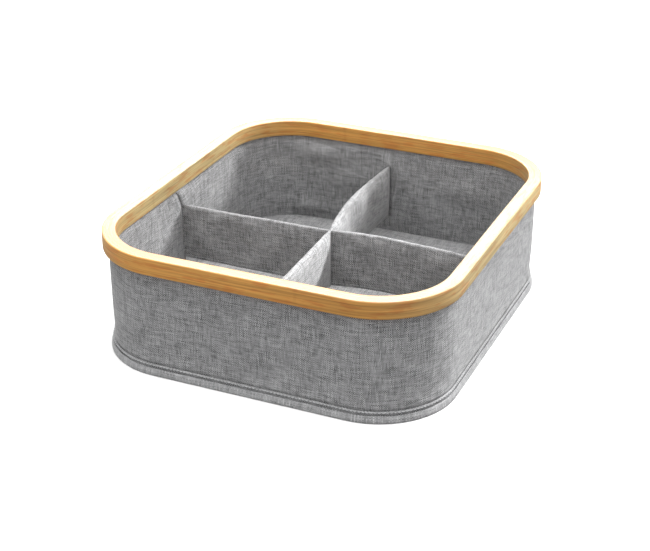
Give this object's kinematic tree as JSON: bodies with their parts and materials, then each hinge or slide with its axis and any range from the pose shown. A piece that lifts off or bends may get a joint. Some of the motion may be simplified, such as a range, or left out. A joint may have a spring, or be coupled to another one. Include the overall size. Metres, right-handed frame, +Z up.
{
  "type": "divided storage basket",
  "caption": "Open fabric storage basket with stiffened walls, a bent bamboo rim and a sewn-in cross of soft dividers that makes four compartments.",
  "frame": {"origin": "middle of the underside, on the surface that the basket stands on", "axes": "+Z up through the open top, front faces -Y, +X to the right along the long divider, +Y to the back"},
  "size_m": [0.3, 0.328, 0.104],
  "materials": {
    "bamboo": "satin lacquer",
    "outer_fabric": "grey plain-woven linen look",
    "lining_fabric": "grey plain-woven linen look",
    "binding_fabric": "grey woven binding",
    "tape": "pale woven tape",
    "board": "plain grey-brown board"
  },
  "bodies": {
    "root": {"rim_face_ply": "bamboo", "rim_middle_ply": "bamboo", "rim_core_ply": "bamboo", "rim_inner_ply": "bamboo", "top_tape": "tape", "outer_cover": "outer_fabric", "wall_board": "board", "lining_front": "lining_fabric", "lining_back": "lining_fabric", "base_cover": "outer_fabric", "base_board": "board", "floor_lining": "lining_fabric", "bottom_binding": "binding_fabric", "base_welt": "binding_fabric", "long_divider_cover": "lining_fabric", "long_board_left": "board", "long_board_right": "board", "front_divider_cover": "lining_fabric", "front_divider_board": "board", "back_divider_cover": "lining_fabric", "back_divider_board": "board"}
  },
  "joints": []
}
